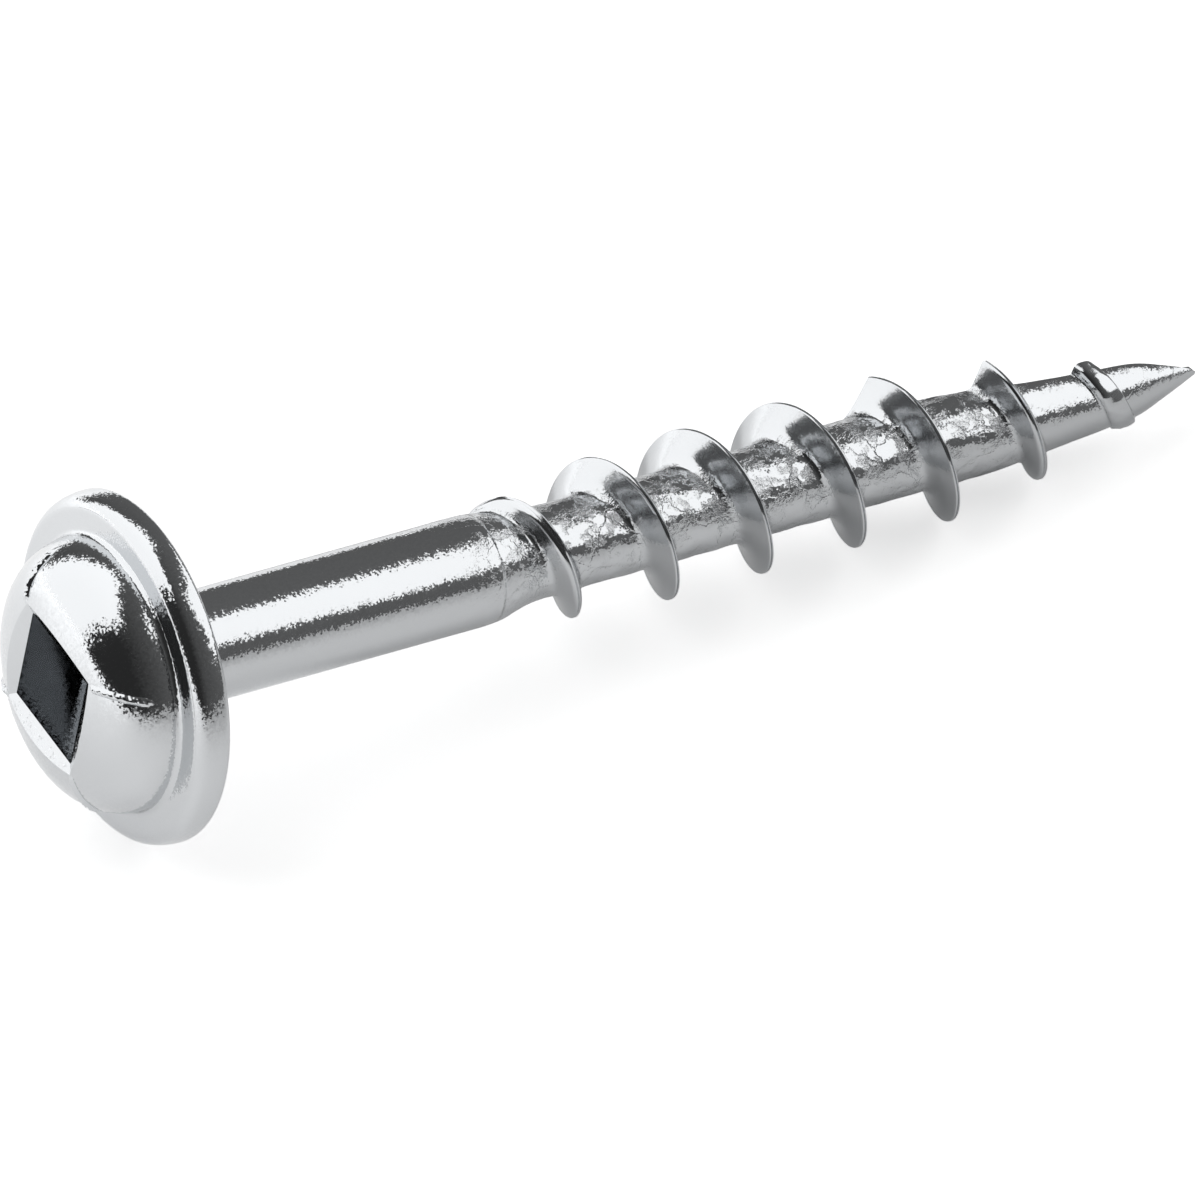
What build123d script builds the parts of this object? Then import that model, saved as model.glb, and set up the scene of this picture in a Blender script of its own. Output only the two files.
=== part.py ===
from build123d import *
from math import atan, cos, hypot, pi, radians, sin, sqrt, tan
import os

# Pocket hole screw, No. 8 coarse, 1 1/4 in under the head, with a washer head and a square recess.
# It is drawn with its axis along X: the seat of the washer is at X = 0, the point is at +X and the
# dome of the head is at -X. Last of all it is laid down as it comes to rest on a flat surface.
# Sizes are in mm and angles in degrees.

# Shank, core and thread
under_head_length = 31.75
shank_dia = 2.94
core_dia = 2.35
thread_dia = 4.2
turns_per_inch = 9
inch = 25.4

# Washer head: the washer's rim is rounded over as half an ellipse, and a dome stands on it
head_height = 3.04
washer_dia = 9.36
washer_thickness = 0.96
rim_bulge = 0.36
neck_chamfer = 0.3
dome_dia = 7.24
crown_radius = 8.0
dome_side_radius = 1.75
dome_foot_fillet = 0.35

# Square drive recess, a No. 2 square, and how far it is turned about the axis
recess_width = 2.81
recess_mouth_depth = 0.42
recess_mouth_angle = 65
recess_floor_height = 0.62
recess_floor_angle = 72
recess_tip_width = 0.4
recess_turn = 7.6

# Where the plain shank is rolled down to the core of the thread
shank_length = 10.1
roll_down_length = 1.3

# Point, measured back from its tip
point_length = 6.35
point_neck_length = 1.9
point_neck_dia = 1.6
point_tip_dia = 0.3
point_blend_radius = 3.0

# One right-hand thread: how far it starts back on the shank, takes to rise to its full height,
# tapers towards the tip and stops short of it
thread_on_shank = 0.5
thread_rise_length = 5.9
thread_taper_length = 5.85
thread_to_tip = 1.0
thread_end_dia = 1.24

# Section of the thread: its flanks spread wider at the foot, which is sunk a little into the core
crest_width = 0.12
flank_angle = 19
foot_height = 0.3
foot_angle = 49.5
thread_sink = 0.08
sections_per_turn = 12

# Flute of the self-drilling point: its floor is level with the axis, its wall is past the axis, and
# the thread ends in it at this angle from its floor
flute_cutter_radius = 15.0
flute_to_tip = 4.15
flute_past_axis = 0.17
flute_turn = -8.5
thread_end_angle = 55.8

# Steps in which the angle of rest is closed in on
tilt_steps = 5

pitch = inch / turns_per_inch
shank_radius = shank_dia / 2
core_radius = core_dia / 2
thread_radius = thread_dia / 2
washer_radius = washer_dia / 2
dome_radius = dome_dia / 2
neck_radius = point_neck_dia / 2
tip_radius = point_tip_dia / 2
point_start = under_head_length - point_length
point_neck = under_head_length - point_neck_length
thread_start = shank_length - thread_on_shank
thread_full = thread_start + thread_rise_length
thread_end = under_head_length - thread_to_tip
thread_taper = thread_end - thread_taper_length


def head_and_shank():
    """The turned body: dome, washer, shank, core and point, revolved from one outline."""
    crown_top = Vector(-head_height, 0)
    crown_centre = crown_top + Vector(crown_radius, 0)
    crown_to_side = crown_radius - dome_side_radius
    side_height = dome_radius - dome_side_radius
    side_centre = crown_centre + Vector(-sqrt(crown_to_side**2 - side_height**2), side_height)
    crown_end = crown_centre + (side_centre - crown_centre) * (crown_radius / crown_to_side)

    foot_x = -washer_thickness - dome_foot_fillet
    side_to_foot = dome_side_radius + dome_foot_fillet
    foot_rise = sqrt(side_to_foot**2 - (foot_x - side_centre.X) ** 2)
    foot_centre = Vector(foot_x, side_height + foot_rise)
    side_end = side_centre + (foot_centre - side_centre) * (dome_side_radius / side_to_foot)
    foot_end = foot_centre + Vector(dome_foot_fillet, 0)
    side_slope = (side_end - side_centre).rotate(Axis.Z, -90)

    rim_inner = washer_radius - rim_bulge
    corners = [
        (0, rim_inner),
        (0, shank_radius + neck_chamfer),
        (neck_chamfer, shank_radius),
        (shank_length, shank_radius),
        (shank_length + roll_down_length, core_radius),
        (point_start, core_radius),
        (point_neck, neck_radius),
        (under_head_length, tip_radius),
        (under_head_length, 0),
    ]
    corner_radii = [0, 0, 0, 0, point_blend_radius, point_blend_radius, 0]
    with BuildPart() as body:
        with BuildSketch():
            with BuildLine():
                RadiusArc(crown_top, crown_end, crown_radius)
                RadiusArc(crown_end, side_end, dome_side_radius)
                Spline(side_end, foot_end, tangents=[side_slope, (0, 1)])
                Line(foot_end, (-washer_thickness, rim_inner))
                EllipticalCenterArc(
                    (-washer_thickness / 2, rim_inner),
                    washer_thickness / 2,
                    rim_bulge,
                    start_angle=0,
                    arc_size=180,
                )
                FilletPolyline(*corners, radius=corner_radii)
                Line((under_head_length, 0), crown_top)
            make_face()
        revolve(axis=Axis.X)
    return body.part


def core_at(x):
    """Radius of the core, and of the point beyond it, at a distance x from the seat."""
    if x < point_start:
        return core_radius
    if x < point_neck:
        along = (x - point_start) / (point_neck - point_start)
        return core_radius + (neck_radius - core_radius) * along
    along = (x - point_neck) / (under_head_length - point_neck)
    return neck_radius + (tip_radius - neck_radius) * along


def crest_at(x):
    """Radius of the crest: it rises out of the shank, runs full and falls towards the point."""
    if x < thread_full:
        growth = sin(pi / 2 * (x - thread_start) / (thread_full - thread_start))
        buried = shank_radius - thread_sink
        return buried + (thread_radius - buried) * growth
    if x < thread_taper:
        return thread_radius
    along = (x - thread_taper) / (thread_end - thread_taper)
    return thread_radius + (thread_end_dia / 2 - thread_radius) * along


def thread_section(x):
    """The thread cut through the axis where its crest is at x: crest, flanks and feet."""
    turn = 2 * pi * (x - thread_end) / pitch + radians(flute_turn + thread_end_angle)
    outward = Vector(0, cos(turn), sin(turn))
    base = core_at(x) - thread_sink
    crest = crest_at(x)
    height = crest - base
    full_height = thread_radius - core_radius + thread_sink
    foot = foot_height * height / full_height
    half_crest = crest_width / 2
    half_flank = half_crest + (height - foot) * tan(radians(flank_angle))
    half_foot = half_flank + foot * tan(radians(foot_angle))
    outline = [
        (-half_foot, base),
        (-half_flank, base + foot),
        (-half_crest, crest),
        (half_crest, crest),
        (half_flank, base + foot),
        (half_foot, base),
    ]
    return Wire.make_polygon(
        [Vector(x + along, 0, 0) + outward * radius for along, radius in outline]
    )


def thread():
    """The helical ridge, lofted turn by turn through its sections."""
    count = round((thread_end - thread_start) / pitch * sections_per_turn)
    step = (thread_end - thread_start) / count
    sections = [thread_section(thread_start + step * index) for index in range(count + 1)]
    return [
        Solid.make_loft(sections[first : first + sections_per_turn + 1])
        for first in range(0, count, sections_per_turn)
    ]


def point_flute():
    """The notch of the self-drilling point: a quarter is milled away and runs out up the thread."""
    with BuildPart() as flute:
        with BuildSketch():
            with Locations((under_head_length - flute_to_tip, flute_cutter_radius - flute_past_axis)):
                Circle(flute_cutter_radius)
                Rectangle(
                    under_head_length,
                    2 * flute_cutter_radius,
                    align=(Align.MIN, Align.CENTER),
                )
        extrude(amount=washer_dia)
    return flute.part.rotate(Axis.X, flute_turn)


def square_recess():
    """The drive recess: a square socket with a chamfered mouth and a shallow pyramid floor."""
    mouth_x = recess_mouth_depth - head_height
    floor_x = -recess_floor_height
    mouth_width = recess_width + 2 * recess_mouth_depth * tan(radians(recess_mouth_angle))
    floor_depth = (recess_width - recess_tip_width) / 2 / tan(radians(recess_floor_angle))

    def square(x, width):
        return Plane(origin=(x, 0, 0), z_dir=(1, 0, 0)) * Rectangle(width, width)

    mouth = loft([square(-head_height, mouth_width), square(mouth_x, recess_width)], ruled=True)
    socket = extrude(square(mouth_x, recess_width), floor_x - mouth_x)
    floor = loft(
        [square(floor_x, recess_width), square(floor_x + floor_depth, recess_tip_width)],
        ruled=True,
    )
    return (mouth + socket + floor).rotate(Axis.X, recess_turn)


def rest_tilt():
    """How far the axis dips when the washer's rim and a low crest of the thread touch the floor."""
    past_low_crest = (flute_turn + thread_end_angle + 90) / 360 * pitch
    turns = int((thread_end - past_low_crest - thread_start) / pitch)
    slopes = []
    for turn in range(turns + 1):
        x = thread_end - past_low_crest - turn * pitch
        slope = 0
        for step in range(tilt_steps):
            rim_reach = washer_radius - rim_bulge + hypot(rim_bulge, washer_thickness / 2 * slope)
            slope = (rim_reach - crest_at(x)) / (x + washer_thickness / 2)
        slopes.append(slope)
    return atan(min(slopes)) * 180 / pi


def laid_down(solid):
    """The screw at rest on the floor, with the origin under the middle of its bounding box."""
    tilted = solid.rotate(Axis.Y, rest_tilt())
    box = tilted.bounding_box()
    return tilted.moved(Location((-box.center().X, -box.center().Y, -box.min.Z)))


screw = head_and_shank().fuse(*thread()) - point_flute() - square_recess()
screw = laid_down(screw)

os.makedirs("parts", exist_ok=True)
export_step(screw, "parts/screw.step")
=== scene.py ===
from bisect import bisect
from math import asin, cos, floor, pi, radians, sin, sqrt, tan

import bmesh
import bpy
from mathutils import Matrix, Vector, noise


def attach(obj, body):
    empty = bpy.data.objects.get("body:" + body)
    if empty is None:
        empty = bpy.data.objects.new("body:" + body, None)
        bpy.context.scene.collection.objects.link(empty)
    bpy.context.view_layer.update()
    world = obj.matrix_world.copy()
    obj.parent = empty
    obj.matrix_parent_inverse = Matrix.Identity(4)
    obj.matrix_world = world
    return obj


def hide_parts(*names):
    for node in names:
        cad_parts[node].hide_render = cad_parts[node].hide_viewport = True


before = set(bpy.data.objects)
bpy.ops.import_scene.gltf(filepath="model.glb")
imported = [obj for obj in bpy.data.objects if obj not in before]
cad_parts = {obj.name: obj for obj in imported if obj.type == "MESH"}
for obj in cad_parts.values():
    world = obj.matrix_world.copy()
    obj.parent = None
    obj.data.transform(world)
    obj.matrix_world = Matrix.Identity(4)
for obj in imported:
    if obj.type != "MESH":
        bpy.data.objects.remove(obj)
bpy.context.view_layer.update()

# The screw is modelled in mm in its drawing frame: axis along X, seat of the washer at X = 0, point
# at +X. This lays it down: the dip of its axis in degrees and the place of the seat's centre in mm.
MM = 0.001
REST_DIP = 6.0174
SEAT_PLACE = (-14.2879, 0.0, 4.6154)
LAY_DOWN = (
    Matrix.Scale(MM, 4)
    @ Matrix.Translation(SEAT_PLACE)
    @ Matrix.Rotation(radians(REST_DIP), 4, "Y")
)

# The sizes that follow are in mm and degrees, unless something else is said.
# Dome: arcs for its crown and its side, and a small fillet where it meets the washer.
HEAD_HEIGHT = 3.04
DOME_R = 3.65
CROWN_RADIUS = 8.0
SIDE_RADIUS = 1.75
FOOT_FILLET = 0.16

# Washer: a flat ring out to a small rounded corner. The rim goes on as an arc from the slope to the
# turn, a second arc to the full radius, and a quarter of an ellipse, this deep, back to the seat.
WASHER_R = 4.68
WASHER_THICK = 0.96
RIM_CORNER_R = 4.31
RIM_CORNER_ROUND = 0.06
RIM_SLOPE = 15
RIM_TURN = 74
RIM_ARC = 0.44
RIM_BACK = 0.27
NECK_CHAMFER = 0.3
HEAD_SPIN_STEPS = 256

# Square recess, and how far the punch that cuts it stands above the dome
RECESS_WIDTH = 2.81
RECESS_TURN = 7.6
MOUTH_DEPTH = 0.42
MOUTH_ANGLE = 65
FLOOR_HEIGHT = 0.62
FLOOR_ANGLE = 72
FLOOR_TIP = 0.4
PUNCH_ABOVE = 0.6

# Creases that the heading punch leaves on the dome, one from each corner of the recess: where they
# start and end on the dome, how each leans at the pivot, and how they sweep round in degrees per mm
CREASE_START_R = 2.16
CREASE_END_R = DOME_R - 0.02
CREASE_END_X = -1.5
CREASE_LEANS = (-1.0, 4.5, 2.0, 2.0)
CREASE_PIVOT_R = RECESS_WIDTH * 0.87
CREASE_SWEEP = 8.5

# Their height, how deep their edges are sunk, their half width and how far that wavers, the lengths
# over which they rise and fade, how uneven their ridge is, the waves of that noise along and across
# it and along its edges, how far apart two creases are in it, and their cells along and across
CREASE_HEIGHT = 0.1
CREASE_SUNK = 0.02
CREASE_HALF = 0.13
CREASE_WAVER = 0.02
CREASE_RISE, CREASE_FADE = 0.2, 0.5
CREASE_UNEVEN = 0.5
RIDGE_WAVES, EDGE_WAVES = (11, 1.5), 3
RIDGE_APART, EDGE_APART = 9.0, 5.0
CREASE_CELLS = (70, 10)

# Shank, core and point, and how far to either side the corners between them are blended
UNDER_HEAD = 31.75
SHANK_R = 1.47
SHANK_LENGTH = 10.1
ROLL_DOWN = 1.3
CORE_R = 1.175
POINT_START = 25.4
POINT_NECK = 29.85
NECK_R = 0.8
TIP_R = 0.15
CORNER_BLEND = 0.35

# Thread: where it starts, is full, tapers and ends, and how deep its start is sunk in the shank
THREAD_R = 2.1
THREAD_HEIGHT = THREAD_R - CORE_R
PITCH = 25.4 / 9
THREAD_START = 9.6
THREAD_FULL = 15.5
THREAD_TAPER = 24.9
THREAD_END = 30.75
THREAD_END_R = 0.62
THREAD_END_ANGLE = 47.3
THREAD_SINK = 0.08

# Its section: half its crest, which spreads by up to so much where the ridge is low, its flanks,
# the share of its height that its foot has, and the least width that a flank or a foot keeps. The
# powers say how quickly the spread comes and how hollow the foot is.
CREST_HALF = 0.06
CREST_SPREAD, SPREAD_POWER = 0.36, 1.5
FLANK_ANGLE = 19
FOOT_SHARE = 0.32
FOOT_ANGLE = 49.5
FOOT_POWER = 3.0
LEAST_WIDTH = 0.02

# The crest's edges are rounded by so much, and by this share more of a low ridge's height. A fold
# runs along the middle of the crest, as deep as this share of the ridge but no deeper than its
# depth, and over this share of the crest's width. The powers say how late the crest rounds off and
# how sharp the fold is.
SHOULDER_ROUND = 0.018
LOW_SHOULDER_SHARE = 0.3
SHOULDER_POWER = 2.5
FOLD_DEPTH = 0.05
FOLD_DEPTH_SHARE = 0.15
FOLD_WIDTH_SHARE = 0.35
FOLD_POWER = 1.5

# The rolled skin: its rows to a turn, the spare turns past both ends, its cells across half a root,
# a foot, a flank, the crest and back down, its least radius, and how far before the tip it is cut
ROWS_PER_TURN = 112
SPARE_TURNS = 2
SECTION_CELLS = (6, 7, 7, 6, 7, 7, 6)
LEAST_RADIUS = 0.02
TIP_CUT = 0.02

# The rolling dies roughen the skin from before the end of the shank on, over this length, and then
# less on the point. A root is rough from this far off the flank.
ROUGH_BEFORE, ROUGH_OVER = 1.6, 2.4
POINT_SMOOTH_AFTER, POINT_SMOOTH_OVER, POINT_SMOOTH = 0.4, 1.0, 0.7
ROUGH_OFF_FLANK = 0.15

# Dents of the roots: depth, waves per mm and where in the noise they are taken. Then the depth and
# the waves of the crest's waver and of the rope-like ridge where it is lower than the shank.
ROOT_DENTS = ((0.022, 1.9, (0, 0, 0)), (0.010, 5.0, (7, 3, 1)))
CREST_WAVER, CREST_WAVES = 0.008, 2.2
ROPE_WAVER, ROPE_WAVES = 0.03, 5.5

# Flute of the point, cut by a milling cutter that stands so tall, and the run past it to the tip
FLUTE_RADIUS = 15.0
FLUTE_DEEPEST = 27.6
FLUTE_PAST_AXIS = 0.17
FLUTE_TURN = -8.5
FLUTE_SEGMENTS = 360
FLUTE_TALL = 6.0
FLUTE_RUN = (10.0, 6.0)

# Edges sharper than this aren't shaded smooth. Above the roots the ridge counts as flank from this
# height on, and wholly after the rise. The walls of the recess count as flank in part.
SHARP_ANGLE = 32
RIDGE_FROM, RIDGE_RISE = 0.06, 0.14
RECESS_REACH = RECESS_WIDTH * 0.72
RECESS_FROM = -HEAD_HEIGHT + MOUTH_DEPTH - 0.01
RECESS_AS_FLANK = 0.8

# Bright zinc: sizes of its crystals, of the swirl that bends the cracks, of the plates between the
# cracks and of the dents, in mm, and the height of its relief
ZINC_COLOUR = "#cfd1d3"
CRYSTAL_SIZE = 1 / 21
SWIRL_SIZE = 1 / 2.2
PLATE_SIZE = 1 / 1.7
DENT_SIZE = 1 / 2.4
RELIEF = 0.02

# How far a crystal tips the mirror and how dull it is, on the plain body and on the flanks
BODY_GLITTER, FLANK_GLITTER = 0.11, 0.03
BODY_DULLNESS, FLANK_DULLNESS = 0.1, 0.14
DULL_FLANK_FROM = 0.82

# How much the swirl bends the cracks, how far from a crack the skin is whole again and how deep
# the crack is, between which levels of noise a dent goes down, and how far all that is sunk.
# Depths are shares of the relief.
CRACK_BEND = 0.45
CRACK_REACH, CRACK_DEPTH = 0.045, 0.4
DENT_LEVELS = (0.51, 0.75)
ROLLED_SUNK = 1.4

# The step that the rolling dies leave across the end of the shank: where it starts and ends, and
# its height as a share of the relief
ROLL_STEP_START, ROLL_STEP_END, ROLL_STEP_HEIGHT = 10.02, 10.14, 1.5

# White table: how brightly it glows for the camera, and how brightly the metal mirrors it at its
# dark end and on the side of the far lamp. That mirrored glow is painted light, a pool of the far
# lamp's light that only the metal sees. The last pair says from where to where, towards that
# lamp, the glow grows.
WHITE = "#ffffff"
TABLE_COLOUR = "#f4f4f4"
TABLE_HALF_IN_M = 2.0
GROUND_GLOW = 0.6
PAINTED_LIGHT_DARK_END, PAINTED_LIGHT_FAR_END = 0.05, 0.8
TO_FAR_LAMP = (-0.707, 0.707, 0.0)
GLOW_START, GLOW_FULL = -20, 52

# Painted shadow of the screw on the table, a dark strip that only the metal mirrors: the line
# behind the axis on which it lies, where it begins, and from where to where it fades
PAINTED_SHADOW_LINE = 5
PAINTED_SHADOW_BEGIN = -1
PAINTED_SHADOW_FADE_START, PAINTED_SHADOW_FADE_END = 4, 9

# Dim room: its glow from the left to the right, and how far to the sides that changes
ROOM_GLOW_LEFT, ROOM_GLOW_RIGHT, ROOM_GLOW_REACH = 0.03, 0.15, 0.6

# Camera: where it stands, what is in the middle of its picture, its sensor, its lens, and between
# which distances it sees
CAMERA_PLACE = (-457.46966, -765.61465, 724.39416)
PICTURE_MIDDLE = (-0.73968, -0.26192, 1.25965)
SENSOR_WIDTH = 36
LENS = 1338.15
SIGHT_START_IN_M, SIGHT_END_IN_M = 0.05, 20


def linear(hex_code):
    """An sRGB hex colour as linear RGBA."""
    out = []
    for index in (1, 3, 5):
        level = int(hex_code[index : index + 2], 16) / 255
        out.append(level / 12.92 if level <= 0.04045 else ((level + 0.055) / 1.055) ** 2.4)
    return (*out, 1.0)


def clamp(value):
    """The value, held between 0 and 1."""
    return min(max(value, 0.0), 1.0)


def between(low, high, share):
    """The value at a share of the way from low to high."""
    return low + (high - low) * share


def arc(centre, radius, first, last, steps):
    """Points on an arc from one angle to another, both in radians."""
    angles = [first + (last - first) * index / steps for index in range(steps + 1)]
    return [(centre[0] + radius * cos(a), centre[1] + radius * sin(a)) for a in angles]


def rounded_corner(before, corner, after, steps):
    """Points on a curve that cuts a corner short, from the point before it to the one after it."""
    return [
        tuple(
            start * (1 - t) ** 2 + middle * 2 * t * (1 - t) + end * t**2
            for start, middle, end in zip(before, corner, after)
        )
        for t in (index / steps for index in range(steps + 1))
    ]


def dome_outline():
    """The dome's outline from its crown to where it meets the washer, as (along, out)."""
    crown_centre = (-HEAD_HEIGHT + CROWN_RADIUS, 0)
    side_out = DOME_R - SIDE_RADIUS
    reach = CROWN_RADIUS - SIDE_RADIUS
    side_centre = (crown_centre[0] - sqrt(reach**2 - side_out**2), side_out)
    lean = asin(side_out / reach)
    foot_x = -WASHER_THICK - FOOT_FILLET
    both = SIDE_RADIUS + FOOT_FILLET
    rise = sqrt(both**2 - (foot_x - side_centre[0]) ** 2)
    foot_lean = asin(rise / both)
    crown = arc(crown_centre, CROWN_RADIUS, pi, pi - lean, steps=24)
    side = arc(side_centre, SIDE_RADIUS, pi - lean, foot_lean, steps=36)
    foot = arc((foot_x, side_out + rise), FOOT_FILLET, foot_lean - pi, 0, steps=10)
    return crown + side[1:] + foot[1:]


def rim_outline():
    """The washer's rim, from its rounded corner on the front to the seat."""
    slope = radians(RIM_SLOPE)
    turn = radians(RIM_TURN)
    front_centre = (-WASHER_THICK + RIM_ARC * cos(slope), RIM_CORNER_R - RIM_ARC * sin(slope))
    rim = arc(front_centre, RIM_ARC, pi - slope, pi - turn, steps=14)
    side = (WASHER_R - rim[-1][1]) / (1 - sin(turn))
    side_centre = (rim[-1][0] + side * cos(turn), WASHER_R - side)
    rim += arc(side_centre, side, pi - turn, pi / 2, steps=12)
    back_length = -side_centre[0]
    rim += [
        (back_length * (x - 1), WASHER_R - RIM_BACK * (1 - out))
        for x, out in arc((0, 0), 1, pi / 2, 0, steps=12)
    ]
    corner = rim[0]
    before = (-WASHER_THICK, RIM_CORNER_R - RIM_CORNER_ROUND)
    after = (
        corner[0] + RIM_CORNER_ROUND * sin(slope),
        corner[1] + RIM_CORNER_ROUND * cos(slope),
    )
    rounded = rounded_corner(before, corner, after, steps=8)
    return rounded + [spot for spot in rim if spot[1] > after[1]]


def head_outline():
    """The whole head's outline, from the crown to the neck under the washer."""
    neck = [(0.0, SHANK_R + NECK_CHAMFER), (NECK_CHAMFER, SHANK_R), (NECK_CHAMFER, 0.0)]
    return dome_outline() + rim_outline() + neck


def spun(outline, steps):
    """A solid of revolution about X from an outline that starts and ends on the axis."""
    bm = bmesh.new()
    last = bmesh.ops.create_vert(bm, co=(outline[0][0], 0, outline[0][1]))["vert"][0]
    for x, out in outline[1:]:
        if (Vector((x, 0, out)) - last.co).length < 1e-6:
            continue
        last = bmesh.ops.extrude_vert_indiv(bm, verts=[last])["verts"][0]
        last.co = (x, 0, out)
    bmesh.ops.spin(
        bm,
        geom=bm.verts[:] + bm.edges[:],
        cent=(0, 0, 0),
        axis=(1, 0, 0),
        angle=2 * pi,
        steps=steps,
        use_merge=True,
    )
    bmesh.ops.remove_doubles(bm, verts=bm.verts[:], dist=1e-5)
    bmesh.ops.recalc_face_normals(bm, faces=bm.faces[:])
    return bm


def recess_punch():
    """The square punch that leaves the recess: mouth chamfer, straight walls and pyramid floor."""
    mouth_width = RECESS_WIDTH + 2 * (MOUTH_DEPTH + PUNCH_ABOVE) * tan(radians(MOUTH_ANGLE))
    floor_depth = (RECESS_WIDTH - FLOOR_TIP) / 2 / tan(radians(FLOOR_ANGLE))
    widths = [
        (-HEAD_HEIGHT - PUNCH_ABOVE, mouth_width),
        (-HEAD_HEIGHT + MOUTH_DEPTH, RECESS_WIDTH),
        (-FLOOR_HEIGHT, RECESS_WIDTH),
        (-FLOOR_HEIGHT + floor_depth, FLOOR_TIP),
    ]
    middle = (0, 0, 0)
    bm = bmesh.new()
    bmesh.ops.create_grid(bm, x_segments=1, y_segments=1, size=0.5)
    bmesh.ops.rotate(bm, verts=bm.verts[:], cent=middle, matrix=Matrix.Rotation(pi / 2, 3, "Y"))
    bm.faces.ensure_lookup_table()
    face = bm.faces[0]
    x_now, width_now = 0.0, 1.0
    for index, (x, width) in enumerate(widths):
        if index:
            face = bmesh.ops.extrude_discrete_faces(bm, faces=[face])["faces"][0]
        ring = list(face.verts)
        bmesh.ops.translate(bm, verts=ring, vec=(x - x_now, 0, 0))
        bmesh.ops.scale(bm, verts=ring, vec=(1, width / width_now, width / width_now))
        x_now, width_now = x, width
    bmesh.ops.holes_fill(bm, edges=[e for e in bm.edges if e.is_boundary], sides=4)
    turned = Matrix.Rotation(radians(RECESS_TURN), 3, "X")
    bmesh.ops.rotate(bm, verts=bm.verts[:], cent=middle, matrix=turned)
    bmesh.ops.recalc_face_normals(bm, faces=bm.faces[:])
    return bm


def core_at(x):
    """Radius of the shank, the core and the point at x."""
    if x < SHANK_LENGTH:
        return SHANK_R
    if x < SHANK_LENGTH + ROLL_DOWN:
        return between(SHANK_R, CORE_R, (x - SHANK_LENGTH) / ROLL_DOWN)
    if x < POINT_START:
        return CORE_R
    if x < POINT_NECK:
        return between(CORE_R, NECK_R, (x - POINT_START) / (POINT_NECK - POINT_START))
    return between(NECK_R, TIP_R, (x - POINT_NECK) / (UNDER_HEAD - POINT_NECK))


def body_at(x):
    """The same radius with its corners blended: the middle of seven radii round x."""
    radii = [core_at(x + CORNER_BLEND * step / 3) for step in range(-3, 4)]
    return sum(radii) / len(radii)


def crest_at(x):
    """Radius of the thread's crest at x: it rises out of the shank, runs full and tapers."""
    if x < THREAD_START:
        return 0.0
    if x < THREAD_FULL:
        rise = sin(pi / 2 * (x - THREAD_START) / (THREAD_FULL - THREAD_START))
        return between(SHANK_R - THREAD_SINK, THREAD_R, rise)
    if x < THREAD_TAPER:
        return THREAD_R
    if x < THREAD_END:
        return between(THREAD_R, THREAD_END_R, (x - THREAD_TAPER) / (THREAD_END - THREAD_TAPER))
    return 0.0


def lowness(height):
    """How far a ridge is from the thread's full height: from 0 where it is full to 1 at nothing."""
    return max(0.0, 1 - height / THREAD_HEIGHT)


def ridge_widths(crest, body):
    """Half widths of the ridge at its crest, flank's end and edge, and the height of its foot."""
    height = max(crest - body, 0.0)
    crest_half = CREST_HALF + CREST_SPREAD * lowness(height) ** SPREAD_POWER
    foot = FOOT_SHARE * height
    flank = crest_half + (height - foot) * tan(radians(FLANK_ANGLE))
    edge = flank + max(foot * tan(radians(FOOT_ANGLE)), LEAST_WIDTH)
    return (
        crest_half,
        max(flank, crest_half + LEAST_WIDTH),
        max(edge, crest_half + 3 * LEAST_WIDTH),
        foot,
    )


def ridge_radius(away, crest, body, widths):
    """Radius of the threaded surface at a distance away from the middle of the crest."""
    crest_half, flank, edge, foot = widths
    height = crest - body
    if height <= 0 or away > edge:
        return body
    shoulder = SHOULDER_ROUND + LOW_SHOULDER_SHARE * height * lowness(height)
    if away <= crest_half:
        share = away / crest_half
        fold = 0.0
        if crest >= SHANK_R:
            depth = min(FOLD_DEPTH, FOLD_DEPTH_SHARE * height)
            fold = depth * max(0.0, 1 - share / FOLD_WIDTH_SHARE) ** FOLD_POWER
        return max(crest - shoulder * share**SHOULDER_POWER - fold, body)
    if away <= flank:
        down = (away - crest_half) / (flank - crest_half)
        return between(crest - shoulder, body + foot, down)
    return body + foot * (1 - (away - flank) / (edge - flank)) ** FOOT_POWER


def rolled_weight(x):
    """How rough the rolling left the surface at x, from 0 on the plain shank to 1 in the roots."""
    rolled = clamp((x - SHANK_LENGTH + ROUGH_BEFORE) / ROUGH_OVER)
    smoothed = clamp((x - POINT_START - POINT_SMOOTH_AFTER) / POINT_SMOOTH_OVER)
    return rolled * (1 - POINT_SMOOTH * smoothed)


def skin_point(turns, stretch, share):
    """A point of the threaded skin: so many turns past the thread's end, and across the section at
    a share of one of its stretches."""
    crest_x = THREAD_END + turns * PITCH
    angle = 2 * pi * turns + radians(THREAD_END_ANGLE)
    crest = crest_at(crest_x)
    widths = ridge_widths(crest, body_at(crest_x))
    flank = widths[1]
    halves = [*widths[:3], PITCH / 2]
    stops = [-half for half in reversed(halves)] + halves
    off = between(stops[stretch], stops[stretch + 1], share)
    x = crest_x + off
    body = body_at(x)
    radius = ridge_radius(abs(off), crest, body, widths)
    spot = Vector((x, body * cos(angle), body * sin(angle)))
    rough = rolled_weight(x) * clamp((abs(off) - flank) / ROUGH_OFF_FLANK)
    for depth, waves, shift in ROOT_DENTS:
        radius += rough * depth * noise.noise(spot * waves + Vector(shift))
    if crest > body and abs(off) < flank:
        on_crest = Vector((crest_x, cos(angle), sin(angle)))
        radius += CREST_WAVER * noise.noise(on_crest * CREST_WAVES)
        if crest < SHANK_R:
            across_too = Vector((x, cos(angle), sin(angle)))
            radius += ROPE_WAVER * noise.noise(across_too * ROPE_WAVES)
    radius = max(radius, LEAST_RADIUS)
    return x, radius * cos(angle), radius * sin(angle)


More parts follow.
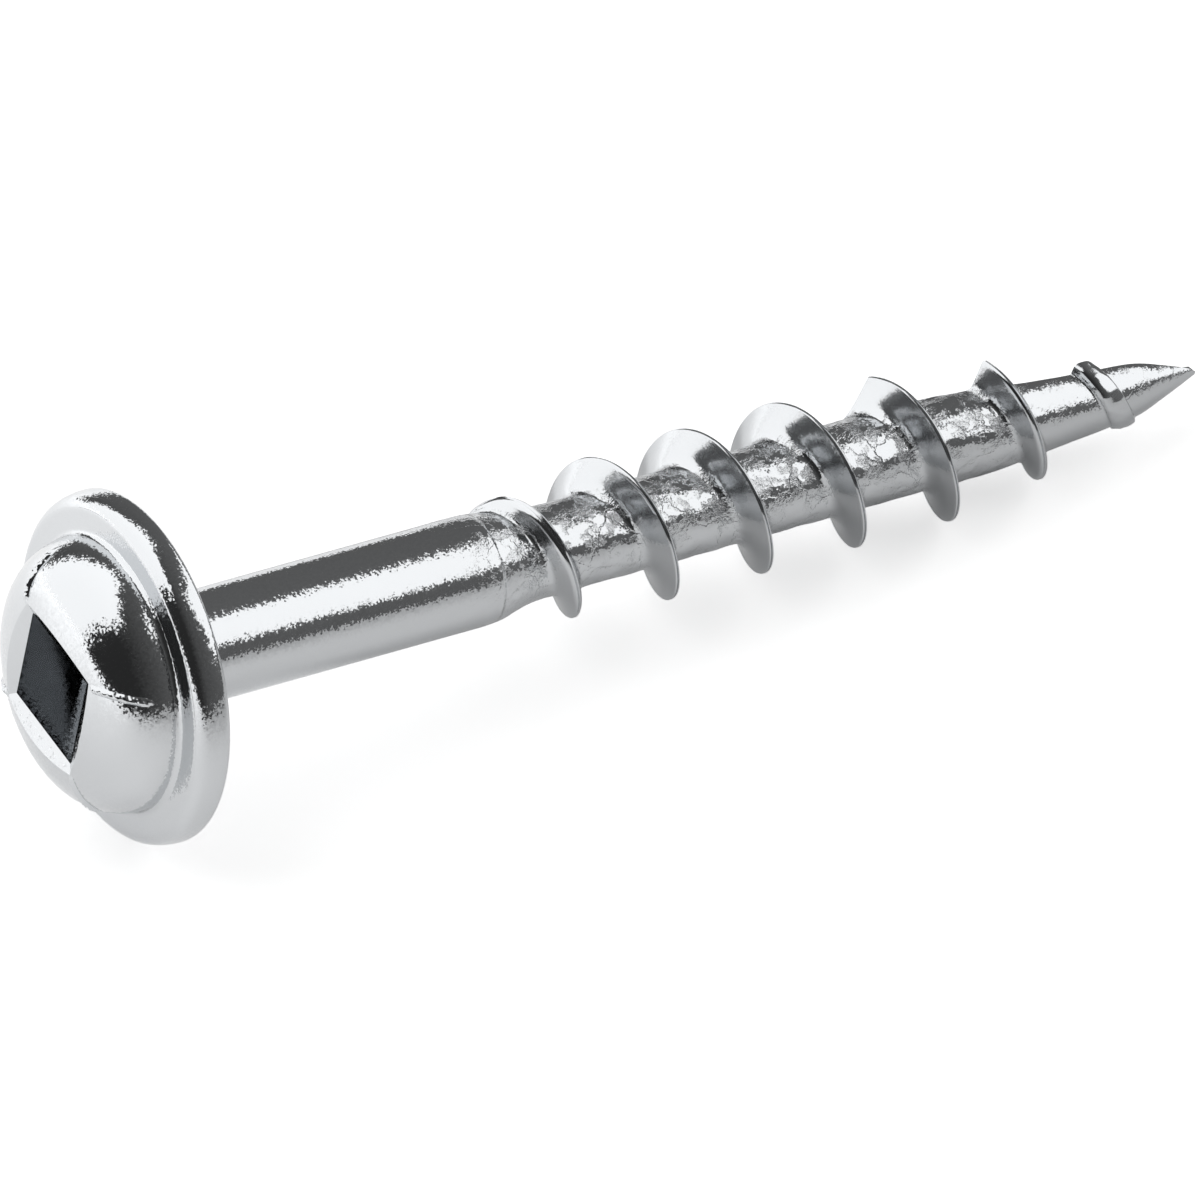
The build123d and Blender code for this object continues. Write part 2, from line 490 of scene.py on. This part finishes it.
def threaded_tube():
    """The shank, thread and point as one skin whose rows follow the thread round the axis."""
    first_turn = floor((0.0 - THREAD_END) / PITCH) - SPARE_TURNS
    rows = (SPARE_TURNS - first_turn) * ROWS_PER_TURN
    columns = sum(SECTION_CELLS)
    across = [(0, 0.0)] + [
        (stretch, (cell + 1) / cells)
        for stretch, cells in enumerate(SECTION_CELLS)
        for cell in range(cells)
    ]
    bm = bmesh.new()
    bmesh.ops.create_grid(bm, x_segments=columns, y_segments=rows, size=0.5)
    for vert in bm.verts:
        column = round((vert.co.x + 0.5) * columns)
        row = round((vert.co.y + 0.5) * rows)
        vert.co = skin_point(first_turn + row / ROWS_PER_TURN, *across[column])
    bmesh.ops.remove_doubles(bm, verts=bm.verts[:], dist=1e-4)
    for end, is_tip in ((NECK_CHAMFER / 2, False), (UNDER_HEAD - TIP_CUT, True)):
        bmesh.ops.bisect_plane(
            bm,
            geom=bm.verts[:] + bm.edges[:] + bm.faces[:],
            dist=1e-6,
            plane_co=(end, 0, 0),
            plane_no=(1, 0, 0),
            clear_outer=is_tip,
            clear_inner=not is_tip,
        )
    bmesh.ops.holes_fill(bm, edges=[e for e in bm.edges if e.is_boundary], sides=0)
    bmesh.ops.triangulate(bm, faces=[f for f in bm.faces if len(f.verts) > 4])
    bmesh.ops.recalc_face_normals(bm, faces=bm.faces[:])
    return bm


def flute_cutters():
    """The milling cutter of the point's flute: a large round one and the straight run past it."""
    turn = Matrix.Rotation(radians(FLUTE_TURN), 4, "X")
    length, width = FLUTE_RUN
    round_part = bmesh.new()
    round_middle = (FLUTE_DEEPEST, FLUTE_RADIUS - FLUTE_PAST_AXIS, FLUTE_TALL / 2)
    bmesh.ops.create_cone(
        round_part,
        cap_ends=True,
        segments=FLUTE_SEGMENTS,
        radius1=FLUTE_RADIUS,
        radius2=FLUTE_RADIUS,
        depth=FLUTE_TALL,
        matrix=turn @ Matrix.Translation(round_middle),
    )
    long_part = bmesh.new()
    long_middle = (FLUTE_DEEPEST + length / 2, width / 2 - FLUTE_PAST_AXIS, FLUTE_TALL / 2)
    bmesh.ops.create_cube(
        long_part,
        size=1.0,
        matrix=turn
        @ Matrix.Translation(long_middle)
        @ Matrix.Diagonal((length, width, FLUTE_TALL, 1.0)),
    )
    return [round_part, long_part]


def spot_on_outline(outline, lengths, along):
    """Where an outline is after a length along it, as (along, out), and which way is out of it."""
    piece = min(bisect(lengths, along + 1e-9) - 1, len(outline) - 2)
    share = (along - lengths[piece]) / (lengths[piece + 1] - lengths[piece])
    (x, out), (next_x, next_out) = outline[piece : piece + 2]
    outward = Vector((-(next_out - out), next_x - x)).normalized()
    return between(x, next_x, share), between(out, next_out, share), outward


def dome_creases():
    """Four low ridges that run down the dome from the corners of the recess."""
    outline = [
        (x, out)
        for x, out in dome_outline()
        if CREASE_START_R < out < CREASE_END_R and x < CREASE_END_X
    ]
    lengths = [0.0]
    for here, there in zip(outline, outline[1:]):
        lengths.append(lengths[-1] + sqrt((there[0] - here[0]) ** 2 + (there[1] - here[1]) ** 2))
    cells_along, cells_across = CREASE_CELLS
    bm = bmesh.new()
    for corner in range(4):
        before = set(bm.verts)
        bmesh.ops.create_grid(bm, x_segments=cells_along, y_segments=cells_across, size=0.5)
        for vert in [v for v in bm.verts if v not in before]:
            along = (vert.co.x + 0.5) * lengths[-1]
            across = vert.co.y * 2
            x, out, outward = spot_on_outline(outline, lengths, along)
            lean = CREASE_LEANS[corner] + CREASE_SWEEP * (out - CREASE_PIVOT_R)
            angle = radians(RECESS_TURN + 45 + 90 * corner + lean)
            out_dir = Vector((0, cos(angle), sin(angle)))
            side_dir = Vector((0, -sin(angle), cos(angle)))
            fade = min(along / CREASE_RISE, (lengths[-1] - along) / CREASE_FADE, 1.0)
            on_ridge = (along * RIDGE_WAVES[0], across * RIDGE_WAVES[1], corner * RIDGE_APART)
            uneven = 1 + CREASE_UNEVEN * noise.noise(Vector(on_ridge))
            rise = CREASE_HEIGHT * fade * uneven * (1 - across**2) - CREASE_SUNK
            on_edge = (along * EDGE_WAVES, corner * EDGE_APART, 0)
            half = CREASE_HALF + CREASE_WAVER * noise.noise(Vector(on_edge))
            spot = Vector((x + outward.x * rise, 0, 0)) + out_dir * (out + outward.y * rise)
            vert.co = spot + side_dir * across * half
    bmesh.ops.recalc_face_normals(bm, faces=bm.faces[:])
    return bm


def in_scene(name, data):
    """A new object in the scene that shows a mesh, a lamp or a camera."""
    obj = bpy.data.objects.new(name, data)
    bpy.context.scene.collection.objects.link(obj)
    return obj


def new_object(name, bm):
    """An object in the scene from a bmesh, which is freed."""
    mesh = bpy.data.meshes.new(name)
    bm.to_mesh(mesh)
    bm.free()
    return in_scene(name, mesh)


def cut(name, bm, cutters):
    """The solid less its cutters, as a new bmesh."""
    solid = new_object(name, bm)
    tools = [new_object(name + "_cutter", tool) for tool in cutters]
    for tool in tools:
        step = solid.modifiers.new("cut", "BOOLEAN")
        step.operation = "DIFFERENCE"
        step.solver = "EXACT"
        step.object = tool
    graph = bpy.context.evaluated_depsgraph_get()
    shape = bpy.data.meshes.new_from_object(solid.evaluated_get(graph))
    out = bmesh.new()
    out.from_mesh(shape)
    for obj in [solid] + tools:
        bpy.data.objects.remove(obj)
    bpy.data.meshes.remove(shape)
    return out


def join(parts):
    """One bmesh from several, which are freed."""
    out = bmesh.new()
    for part in parts:
        mesh = bpy.data.meshes.new("part")
        part.to_mesh(mesh)
        part.free()
        out.from_mesh(mesh)
        bpy.data.meshes.remove(mesh)
    return out


def mark_finish(bm):
    """Writes at each point, for the zinc: how much the rolling dies roughened it, its distance from
    the seat, and how much it counts as a flank."""
    rolled = bm.verts.layers.float.new("rolled")
    along = bm.verts.layers.float.new("along")
    flank = bm.verts.layers.float.new("flank")
    for vert in bm.verts:
        x = vert.co.x
        out = sqrt(vert.co.y**2 + vert.co.z**2)
        height = out - body_at(x) if x > 0 else 0.0
        ridge = clamp((height - RIDGE_FROM) / RIDGE_RISE)
        in_recess = RECESS_FROM < x < 0.0 and out < RECESS_REACH
        vert[along] = x
        vert[flank] = RECESS_AS_FLANK if in_recess else ridge
        vert[rolled] = rolled_weight(x) * (1 - ridge)


def sharpen(bm, limit):
    """Smooth shading, with the edges past the limit in degrees kept sharp."""
    for face in bm.faces:
        face.smooth = True
    for edge in bm.edges:
        if len(edge.link_faces) == 2:
            edge.smooth = edge.calc_face_angle(0.0) < radians(limit)


def build_screw():
    """The whole screw, laid down in the row frame."""
    head = cut("head", spun(head_outline(), HEAD_SPIN_STEPS), [recess_punch()])
    shank = cut("shank", threaded_tube(), flute_cutters())
    bm = join([head, shank, dome_creases()])
    mark_finish(bm)
    sharpen(bm, SHARP_ANGLE)
    bmesh.ops.transform(bm, matrix=LAY_DOWN, verts=bm.verts[:])
    return new_object("screw_bright_zinc", bm)


def node(tree, kind, settings=None, **links):
    """Adds a node, sets its properties, and sets or links its inputs by name, or as i0, i1, i2."""
    made = tree.nodes.new(kind)
    for key, value in (settings or {}).items():
        setattr(made, key, value)
    for key, value in links.items():
        numbered = key[0] == "i" and key[1:].isdigit()
        socket = made.inputs[int(key[1:]) if numbered else key.replace("_", " ")]
        if isinstance(value, bpy.types.NodeSocket):
            tree.links.new(value, socket)
        else:
            socket.default_value = value
    return made


def maths(tree, operation, *values):
    """What a maths node makes of these values."""
    links = {f"i{index}": value for index, value in enumerate(values)}
    return node(tree, "ShaderNodeMath", {"operation": operation}, **links).outputs[0]


def vector_maths(tree, operation, **links):
    """The vector that a vector maths node makes of its inputs."""
    return node(tree, "ShaderNodeVectorMath", {"operation": operation}, **links).outputs[0]


def mapped(tree, value, start, end, first, last, change="LINEAR"):
    """What becomes of a value: first up to the start, last from the end on, between them a ramp."""
    return node(
        tree,
        "ShaderNodeMapRange",
        {"interpolation_type": change},
        i0=value,
        i1=start,
        i2=end,
        i3=first,
        i4=last,
    ).outputs[0]


def attribute(tree, name):
    """A value that mark_finish wrote."""
    return node(tree, "ShaderNodeAttribute", {"attribute_name": name}).outputs["Fac"]


def new_material(name):
    """An empty node material and its tree."""
    material = bpy.data.materials.new(name)
    material.use_nodes = True
    material.node_tree.nodes.clear()
    return material, material.node_tree


def crystal_skin(tree, in_mm, flank):
    """The mirror's direction, tipped a little another way by each crystal of the zinc. It gives the
    eye a speckled seam between light and dark on the body, and a cleaner one on the flanks."""
    cells = node(tree, "ShaderNodeTexVoronoi", Vector=in_mm, Scale=1 / CRYSTAL_SIZE)
    centred = vector_maths(tree, "SUBTRACT", i0=cells.outputs["Color"], i1=(0.5, 0.5, 0.5))
    glitter = mapped(tree, flank, 0.0, 1.0, BODY_GLITTER, FLANK_GLITTER)
    level = node(tree, "ShaderNodeNewGeometry").outputs["Normal"]
    tipped = vector_maths(tree, "MULTIPLY_ADD", i0=centred, i1=glitter, i2=level)
    return vector_maths(tree, "NORMALIZE", i0=tipped)


def rolled_relief(tree, in_mm):
    """The height of the surface, as shares of the relief. Where the dies rolled it, it is cracked
    into plates and dented, and it gives the eye torn lights and darks. A fine line crosses the end
    of the shank."""
    swirl = node(
        tree, "ShaderNodeTexNoise", Vector=in_mm, Scale=1 / SWIRL_SIZE, Detail=4.0, Roughness=0.6
    ).outputs["Color"]
    bent = node(
        tree, "ShaderNodeMix", {"data_type": "VECTOR"}, Factor=CRACK_BEND, i4=in_mm, i5=swirl
    ).outputs[1]
    to_crack = node(
        tree,
        "ShaderNodeTexVoronoi",
        {"feature": "DISTANCE_TO_EDGE"},
        Vector=bent,
        Scale=1 / PLATE_SIZE,
    ).outputs["Distance"]
    whole = mapped(tree, to_crack, 0.0, CRACK_REACH, 0.0, 1.0)
    dents = node(
        tree, "ShaderNodeTexNoise", Vector=in_mm, Scale=1 / DENT_SIZE, Detail=6.0, Roughness=0.62
    ).outputs["Fac"]
    plates = mapped(tree, dents, *DENT_LEVELS, 1.0, 0.0)
    torn = maths(tree, "MULTIPLY_ADD", whole, CRACK_DEPTH, plates)
    sunk = maths(tree, "SUBTRACT", torn, ROLLED_SUNK)
    rolled = maths(tree, "MULTIPLY", sunk, attribute(tree, "rolled"))
    along = attribute(tree, "along")
    step = mapped(
        tree, along, ROLL_STEP_START, ROLL_STEP_END, ROLL_STEP_HEIGHT, 0.0, "SMOOTHSTEP"
    )
    return maths(tree, "ADD", rolled, step)


def bright_zinc():
    """Bright zinc plate on steel. It gives the eye a cool grey mirror that is glossy on the head
    and the shank, a little duller on the flanks, and crackled in the thread's roots."""
    material, tree = new_material("bright_zinc_plated_steel")
    place = node(tree, "ShaderNodeTexCoord").outputs["Object"]
    in_mm = vector_maths(tree, "SCALE", i0=place, Scale=1 / MM)
    flank = attribute(tree, "flank")
    surface = node(
        tree,
        "ShaderNodeBump",
        Strength=1.0,
        Distance=RELIEF * MM,
        Height=rolled_relief(tree, in_mm),
        Normal=crystal_skin(tree, in_mm, flank),
    ).outputs[0]
    shader = node(
        tree,
        "ShaderNodeBsdfPrincipled",
        Base_Color=linear(ZINC_COLOUR),
        Metallic=1.0,
        Roughness=mapped(tree, flank, DULL_FLANK_FROM, 1.0, BODY_DULLNESS, FLANK_DULLNESS),
        Normal=surface,
    ).outputs[0]
    node(tree, "ShaderNodeOutputMaterial", Surface=shader)
    return material


def table_glow(tree, for_camera):
    """How brightly the table glows: evenly for the camera. The metal mirrors it brighter towards
    the far lamp, which is painted light, and with a dark strip behind the shank and the thread,
    which is a painted shadow."""
    place = node(tree, "ShaderNodeTexCoord").outputs["Object"]
    to_lamp = node(
        tree, "ShaderNodeVectorMath", {"operation": "DOT_PRODUCT"}, i0=place, i1=TO_FAR_LAMP
    ).outputs["Value"]
    # Painted light: as the metal mirrors it, the table glows brighter towards the far lamp.
    mirrored = mapped(tree, to_lamp, GLOW_START * MM, GLOW_FULL * MM, PAINTED_LIGHT_DARK_END, PAINTED_LIGHT_FAR_END)
    strength = mapped(tree, for_camera, 0.0, 1.0, mirrored, GROUND_GLOW)
    # Painted shadow: as the metal mirrors it, the table is dark in a strip behind the shank and
    # thread.
    apart = node(tree, "ShaderNodeSeparateXYZ", Vector=place)
    beside = maths(
        tree, "ABSOLUTE", maths(tree, "SUBTRACT", apart.outputs["Y"], PAINTED_SHADOW_LINE * MM)
    )
    before = maths(tree, "MULTIPLY_ADD", apart.outputs["X"], -1.0, PAINTED_SHADOW_BEGIN * MM)
    away = maths(tree, "MAXIMUM", maths(tree, "MAXIMUM", beside, before), for_camera)
    return mapped(
        tree, away, PAINTED_SHADOW_FADE_START * MM, PAINTED_SHADOW_FADE_END * MM, 0.0, strength, "SMOOTHSTEP"
    )


def white_table():
    """A matt white table. It gives the eye the white ground of a catalogue picture, with a pale
    shadow. Its glow is only seen, straight on or mirrored, and lights nothing else. Mirrored, it
    holds painted light and a painted shadow."""
    material, tree = new_material("matt_white_table")
    matt = node(tree, "ShaderNodeBsdfDiffuse", Color=linear(TABLE_COLOUR)).outputs[0]
    path = node(tree, "ShaderNodeLightPath").outputs
    level = table_glow(tree, path["Is Camera Ray"])
    glow = node(tree, "ShaderNodeEmission", Color=linear(WHITE), Strength=level).outputs[0]
    both = node(tree, "ShaderNodeAddShader", i0=matt, i1=glow).outputs[0]
    seen = maths(tree, "MAXIMUM", path["Is Camera Ray"], path["Is Glossy Ray"])
    seen = maths(tree, "MAXIMUM", seen, path["Is Transmission Ray"])
    mixed = node(tree, "ShaderNodeMixShader", i0=seen, i1=matt, i2=both).outputs[0]
    node(tree, "ShaderNodeOutputMaterial", Surface=mixed)
    return material


def build_floor():
    """The table under the screw."""
    bm = bmesh.new()
    bmesh.ops.create_grid(bm, x_segments=1, y_segments=1, size=TABLE_HALF_IN_M)
    table = new_object("table", bm)
    table.data.materials.append(white_table())
    return table


def softbox(name, azimuth, elevation, distance, width, height, lean, radiance):
    """A rectangular lamp aimed at the screw, its sizes in m. Azimuth is from +X towards +Y."""
    lamp = bpy.data.lights.new(name, "AREA")
    lamp.shape = "RECTANGLE"
    lamp.size = width
    lamp.size_y = height
    lamp.energy = radiance * pi * width * height
    away = Vector(
        (
            cos(radians(elevation)) * cos(radians(azimuth)),
            cos(radians(elevation)) * sin(radians(azimuth)),
            sin(radians(elevation)),
        )
    )
    facing = away.to_track_quat("Z", "Y").to_matrix() @ Matrix.Rotation(radians(lean), 3, "Z")
    box = in_scene(name, lamp)
    box.location = away * distance
    box.rotation_euler = facing.to_euler()


def light_the_room():
    """Two large softboxes in a dim room, placed where the metal's white reflections need them."""
    softbox(
        "softbox_far_left",
        azimuth=133,
        elevation=40,
        distance=0.2,
        width=0.25,
        height=0.325,
        lean=0,
        radiance=1.4,
    )
    softbox(
        "softbox_near_right",
        azimuth=-18.5,
        elevation=38.5,
        distance=0.5,
        width=0.63,
        height=0.44,
        lean=-28,
        radiance=1.3,
    )
    world = bpy.data.worlds.new("dim_room")
    world.use_nodes = True
    tree = world.node_tree
    tree.nodes.clear()
    way = node(tree, "ShaderNodeTexCoord").outputs["Generated"]
    right = node(tree, "ShaderNodeSeparateXYZ", Vector=way).outputs["X"]
    level = mapped(
        tree, right, -ROOM_GLOW_REACH, ROOM_GLOW_REACH, ROOM_GLOW_LEFT, ROOM_GLOW_RIGHT
    )
    room = node(tree, "ShaderNodeBackground", Color=linear(WHITE), Strength=level).outputs[0]
    node(tree, "ShaderNodeOutputWorld", Surface=room)
    bpy.context.scene.world = world


def place_camera():
    """The photograph's view: from in front and above on the head's side, with a long lens."""
    data = bpy.data.cameras.new("camera")
    data.lens = LENS
    data.sensor_width = SENSOR_WIDTH
    data.sensor_fit = "HORIZONTAL"
    data.clip_start = SIGHT_START_IN_M
    data.clip_end = SIGHT_END_IN_M
    data.dof.use_dof = False
    camera = in_scene("camera", data)
    here = Vector(CAMERA_PLACE) * MM
    camera.location = here
    camera.rotation_euler = (here - Vector(PICTURE_MIDDLE) * MM).to_track_quat("Z", "Y").to_euler()
    bpy.context.scene.camera = camera


screw = build_screw()
screw.data.materials.append(bright_zinc())
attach(screw, "root")
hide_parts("screw")

floor_object = build_floor()
light_the_room()
place_camera()
bpy.context.scene.view_settings.view_transform = "Standard"
